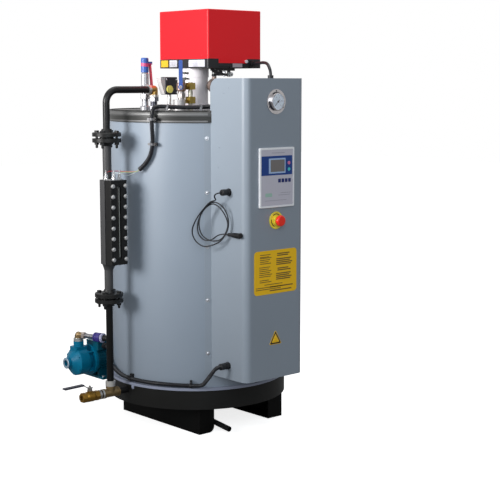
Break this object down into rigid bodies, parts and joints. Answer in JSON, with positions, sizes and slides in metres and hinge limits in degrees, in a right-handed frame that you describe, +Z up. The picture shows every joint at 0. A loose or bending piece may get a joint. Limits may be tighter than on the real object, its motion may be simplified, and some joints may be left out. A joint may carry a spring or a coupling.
{
  "type": "industrial boiler",
  "caption": "Vertical fired steam boiler with a top burner, front control cabinet, side level column, safety and drain valves, and a feed pump on a steel base.",
  "frame": {"origin": "on the floor at the centre of the four anchor holes, under the axis of the jacket", "axes": "+Z up, -Y out of the control cabinet's front, -X to the level column"},
  "size_m": [1.011, 1.063, 1.647],
  "materials": {
    "black_steel": "satin black paint",
    "grey_steel": "grey paint",
    "jacket_grey": "light blue-grey powder coat",
    "cabinet_grey": "blue-grey powder coat",
    "lid_dark": "dark grey paint",
    "burner_red": "gloss red",
    "tray_black": "matt black",
    "cast_aluminium": "cast",
    "bright_steel": "bright",
    "black_iron": "black painted pipe and castings",
    "brass": "raw brass",
    "teal": "teal enamel",
    "chrome": "polished",
    "panel_white": "printed panel",
    "yellow": "gloss yellow",
    "red": "gloss red",
    "blue": "blue plastic",
    "violet": "violet band",
    "cable": "black cable and corrugated sleeve",
    "lead_red": "insulation",
    "lead_white": "insulation",
    "lead_green": "insulation"
  },
  "bodies": {
    "boiler": {"base_conduit": "cable", "base_plate": "grey_steel", "base_rail_left": "black_steel", "base_rail_right": "black_steel", "base_skirt": "black_steel", "blowdown_pipe": "black_iron", "burner_cable": "cable", "burner_cover": "burner_red", "burner_neck": "cast_aluminium", "burner_tray": "tray_black", "cabinet_roof": "cabinet_grey", "cabinet_wrap": "cabinet_grey", "cable_gland_burner": "tray_black", "cable_gland_lower": "tray_black", "cable_gland_roof": "tray_black", "cable_gland_upper": "tray_black", "control_panel": "panel_white", "drain_nipple": "black_iron", "drain_pipe": "black_iron", "drain_tee": "brass", "drain_valve": "brass", "emergency_stop_collar": "yellow", "feed_check_valve": "violet", "feed_pipe": "black_iron", "flue_outlet": "bright_steel", "gas_inlet_valve": "brass", "jacket": "jacket_grey", "level_chamber": "black_iron", "level_cover": "black_iron", "level_probes": "bright_steel", "lid_conduit": "cable", "lid_cover": "lid_dark", "lid_ring": "lid_dark", "lower_flanges": "black_iron", "pressure_gauge": "chrome", "pressure_switch": "tray_black", "probe_lead_1": "lead_red", "probe_lead_2": "lead_white", "probe_lead_3": "lead_green", "pump_head": "teal", "pump_motor": "teal", "pump_outlet": "brass", "pump_shelf": "black_steel", "safety_valve_body": "bright_steel", "safety_valve_cap": "blue", "sensor_coil": "cable", "sensor_plug": "tray_black", "sensor_tail_gland": "cable", "sensor_tail_plug": "cable", "steam_elbow": "brass", "steam_outlet_valve": "bright_steel", "steam_pipe": "black_iron", "steam_riser": "bright_steel", "upper_flanges": "black_iron", "vent_fitting": "brass"},
    "drain_lever": {"drain_lever": "bright_steel"},
    "steam_outlet_lever": {"steam_outlet_lever": "blue"},
    "safety_valve_lever": {"safety_valve_lever": "red"},
    "emergency_stop_button": {"emergency_stop_button": "red"}
  },
  "joints": [
    {"name": "drain_lever_turn", "type": "hinge", "parent": "boiler", "child": "drain_lever", "pos_m": [-0.533, 0, 0.198], "axis": [0, 0, 1], "range_deg": [0, 90]},
    {"name": "steam_outlet_lever_turn", "type": "hinge", "parent": "boiler", "child": "steam_outlet_lever", "pos_m": [-0.13315, -0.0729, 1.347], "axis": [0.6606, 0.7507, 0], "range_deg": [0, 90]},
    {"name": "safety_valve_lever_lift", "type": "hinge", "parent": "boiler", "child": "safety_valve_lever", "pos_m": [-0.176, 0.07, 1.44], "axis": [0, -1, 0], "range_deg": [0, 25]},
    {"name": "emergency_stop_press", "type": "slide", "parent": "boiler", "child": "emergency_stop_button", "axis": [0, 1, 0], "range_m": [0, 0.005], "stiffness_N_per_m": 400}
  ]
}
